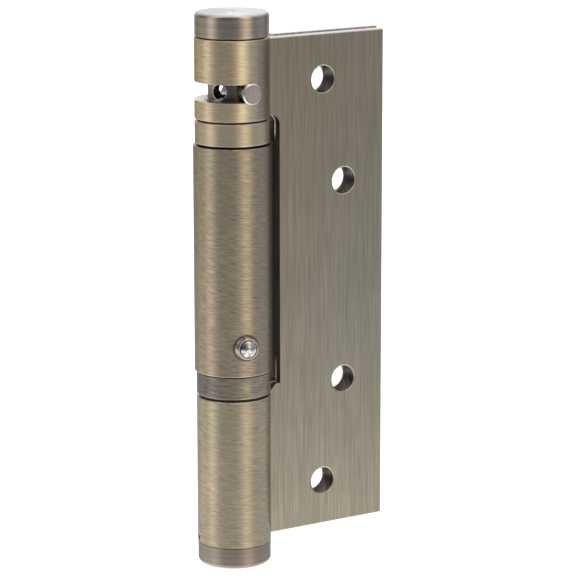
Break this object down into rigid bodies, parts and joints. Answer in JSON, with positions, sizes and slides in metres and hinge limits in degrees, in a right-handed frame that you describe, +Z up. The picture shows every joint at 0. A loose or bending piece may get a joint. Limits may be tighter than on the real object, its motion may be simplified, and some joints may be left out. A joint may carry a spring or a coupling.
{
  "type": "spring hinge",
  "caption": "Self-closing butt hinge: two leaves folded together on a barrel that holds a torsion spring, with a slotted tension collar and stop pin.",
  "frame": {"origin": "on the barrel's axis, halfway up the frame leaf", "axes": "+Z up the barrel towards the slotted knuckle, +X along both closed leaves, +Y from the frame leaf to the door leaf"},
  "size_m": [0.0527, 0.0214, 0.1398],
  "materials": {
    "leaf_finish": "antique brass plate, brushed along the leaf",
    "sleeve_finish": "antique brass plate, brushed round the barrel",
    "cap_finish": "antique brass plate, turned and satin",
    "collar_steel": "turned steel, bare",
    "pin_steel": "bright steel",
    "rivet_chrome": "polished",
    "ring_nickel": "bevelled, satin nickel",
    "spring_steel": "oiled spring wire",
    "bushing_bronze": "turned bronze",
    "washer_nylon": "black nylon",
    "pivot_steel": "hardened steel, turned"
  },
  "bodies": {
    "root": {"frame_leaf": "leaf_finish", "top_cap": "cap_finish", "bottom_cap": "cap_finish", "cap_lock_pin": "pin_steel", "upper_thrust_washer": "washer_nylon", "lower_thrust_washer": "washer_nylon", "pivot_pin": "pivot_steel", "bearing_ball": "pivot_steel"},
    "door": {"door_leaf": "leaf_finish", "cover_sleeve": "sleeve_finish", "spring_anchor": "pivot_steel", "anchor_rivet": "rivet_chrome", "rivet_ring": "ring_nickel", "upper_bushing": "bushing_bronze", "lower_bushing": "bushing_bronze"},
    "collar": {"tension_collar": "collar_steel", "spring_hub": "pivot_steel", "hub_pin": "pin_steel", "torsion_spring": "spring_steel"},
    "pin": {"stop_pin": "pin_steel"}
  },
  "joints": [
    {"name": "leaf_swing", "type": "hinge", "parent": "root", "child": "door", "pos_m": [0, 0, 0], "axis": [0, 0, 1], "range_deg": [0, 180], "stiffness_Nm_per_rad": 1, "springref_deg": -45.84, "deforming": ["torsion_spring"]},
    {"name": "collar_turn", "type": "hinge", "parent": "root", "child": "collar", "pos_m": [0, 0, 0], "axis": [0, 0, 1], "range_deg": [-184, 0], "stiffness_Nm_per_rad": 1, "springref_deg": 45.84, "deforming": ["torsion_spring"]},
    {"name": "pin_pull", "type": "slide", "parent": "collar", "child": "pin", "axis": [-0.0349, -0.9994, 0], "range_m": [0, 0.0075]}
  ]
}
